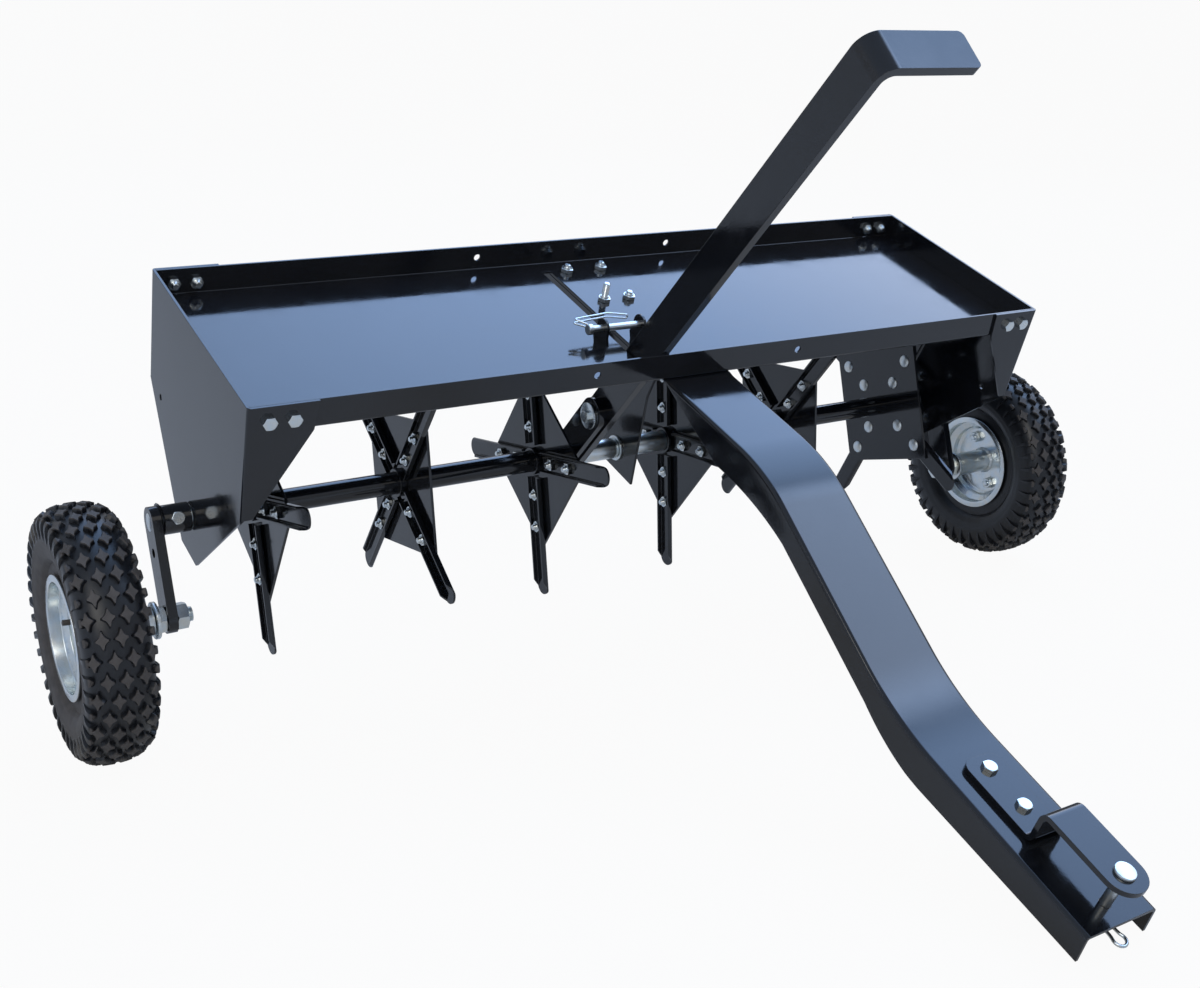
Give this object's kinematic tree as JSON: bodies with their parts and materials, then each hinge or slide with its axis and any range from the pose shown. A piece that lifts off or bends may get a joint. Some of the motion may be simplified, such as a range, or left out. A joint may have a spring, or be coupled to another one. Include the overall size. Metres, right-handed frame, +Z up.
{
  "type": "tow behind aerator",
  "caption": "Tow behind lawn aerator with a ballast tray, two spinning tine gangs, a lift lever that lowers the wheels, and a channel tongue with a pin hitch.",
  "frame": {"origin": "on the floor, midway between the hitch bar's front edge and the rearmost tine tip, on the machine's middle plane", "axes": "+X to the machine's right wheel as seen from the picture's far side, +Y to the rear, +Z up; the machine stands on its wheels and its tongue end"},
  "size_m": [1.3286, 0.9813, 0.7211],
  "materials": {
    "black_paint": "gloss black powder coat",
    "zinc_plate": "bright zinc plate",
    "tyre_rubber": "matt black rubber"
  },
  "bodies": {
    "frame": {"tray": "black_paint", "end_plate_left": "black_paint", "end_plate_right": "black_paint", "corner_bolts": "zinc_plate", "corner_nuts": "zinc_plate", "tongue": "black_paint", "tongue_bolts": "zinc_plate", "tongue_nuts": "zinc_plate", "hanger_plate": "black_paint", "axle_bushes": "zinc_plate", "lock_ears": "black_paint", "hitch_clevis": "black_paint", "clevis_bolts": "zinc_plate", "clevis_nuts": "zinc_plate"},
    "lift": {"lift_axle": "zinc_plate", "lower_arm": "black_paint", "lever": "black_paint", "lever_bolt": "zinc_plate", "lever_nut": "zinc_plate", "washers": "zinc_plate", "sleeves": "zinc_plate", "wheel_arm_left": "black_paint", "wheel_arm_right": "black_paint", "arm_bolts": "zinc_plate", "arm_nuts": "zinc_plate", "wheel_axles": "zinc_plate", "wheel_axle_nuts": "zinc_plate"},
    "wheel_left": {"tyre_left": "tyre_rubber", "rim_outer_left": "zinc_plate", "rim_inner_left": "zinc_plate", "hub_left": "zinc_plate", "bearings_left": "zinc_plate", "rim_bolts_left": "zinc_plate", "rim_nuts_left": "zinc_plate"},
    "wheel_right": {"tyre_right": "tyre_rubber", "rim_outer_right": "zinc_plate", "rim_inner_right": "zinc_plate", "hub_right": "zinc_plate", "bearings_right": "zinc_plate", "rim_bolts_right": "zinc_plate", "rim_nuts_right": "zinc_plate"},
    "gang_left": {"gang_tube_left": "black_paint", "tine_plates_left": "black_paint", "collars_left": "black_paint", "tines_left": "black_paint", "tine_bolts_left": "zinc_plate", "tine_nuts_left": "zinc_plate", "gang_bushes_left": "zinc_plate"},
    "gang_right": {"gang_tube_right": "black_paint", "tine_plates_right": "black_paint", "collars_right": "black_paint", "tines_right": "black_paint", "tine_bolts_right": "zinc_plate", "tine_nuts_right": "zinc_plate", "gang_bushes_right": "zinc_plate"},
    "lock_pin": {"lock_pin": "zinc_plate", "lock_wire": "zinc_plate"},
    "hitch_pin": {"hitch_pin": "zinc_plate"},
    "hitch_clip": {"hitch_clip": "zinc_plate"}
  },
  "joints": [
    {"name": "lift", "type": "hinge", "parent": "frame", "child": "lift", "pos_m": [0, 0.328, 0.22743], "axis": [-1, 0, 0], "range_deg": [0, 52]},
    {"name": "wheel_left_spin", "type": "hinge", "parent": "lift", "child": "wheel_left", "pos_m": [-0.6246, 0.29657, 0.1325], "axis": [1, 0, 0], "continuous": true},
    {"name": "wheel_right_spin", "type": "hinge", "parent": "lift", "child": "wheel_right", "pos_m": [0.6246, 0.29657, 0.1325], "axis": [1, 0, 0], "continuous": true},
    {"name": "gang_left_spin", "type": "hinge", "parent": "lift", "child": "gang_left", "pos_m": [-0.25, 0.328, 0.22743], "axis": [1, 0, 0], "continuous": true},
    {"name": "gang_right_spin", "type": "hinge", "parent": "lift", "child": "gang_right", "pos_m": [0.25, 0.328, 0.22743], "axis": [1, 0, 0], "continuous": true},
    {"name": "lock_pin_slide", "type": "slide", "parent": "frame", "child": "lock_pin", "axis": [-1, 0, 0], "range_m": [0, 0.283]},
    {"name": "hitch_pin_slide", "type": "slide", "parent": "frame", "child": "hitch_pin", "axis": [0, -0.3711, 0.9286], "range_m": [0, 0.066]},
    {"name": "hitch_clip_slide", "type": "slide", "parent": "hitch_pin", "child": "hitch_clip", "axis": [0, -0.9286, -0.3711], "range_m": [0, 0.18]}
  ],
  "couplings": [
    {"joint": "lock_pin_slide", "follows": "lift", "m_per_rad": 0.31},
    {"joint": "hitch_clip_slide", "follows": "hitch_pin_slide", "ratio": 2.6}
  ]
}
